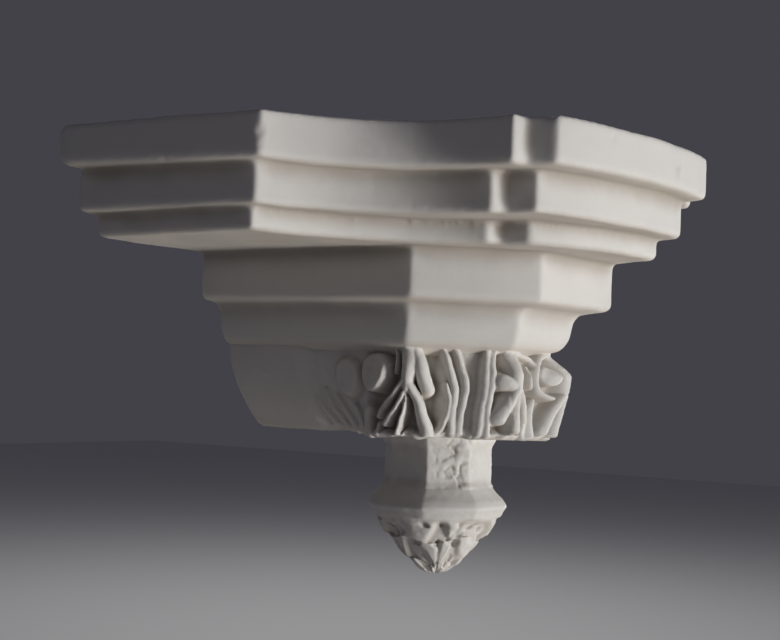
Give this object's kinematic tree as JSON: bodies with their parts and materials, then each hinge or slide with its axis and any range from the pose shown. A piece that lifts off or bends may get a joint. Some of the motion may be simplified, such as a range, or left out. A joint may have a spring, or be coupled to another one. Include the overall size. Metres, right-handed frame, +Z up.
{
  "type": "stone corbel",
  "caption": "Wall corbel in pale stone: stepped abacus, half-octagon moulded bell with carved leaves, short stem, collar ring and a carved bud.",
  "frame": {"origin": "on the wall face, on the axis of the bell and at the level of the underside of the lowest slab", "axes": "+Z up, -Y out of the wall towards the front, +X to the right seen from the front"},
  "size_m": [0.602, 0.4076, 0.3692],
  "materials": {
    "stone": "matt off-white limestone or plaster cast with soft worn arrises"
  },
  "bodies": {
    "root": {"corbel": "stone"}
  },
  "joints": []
}
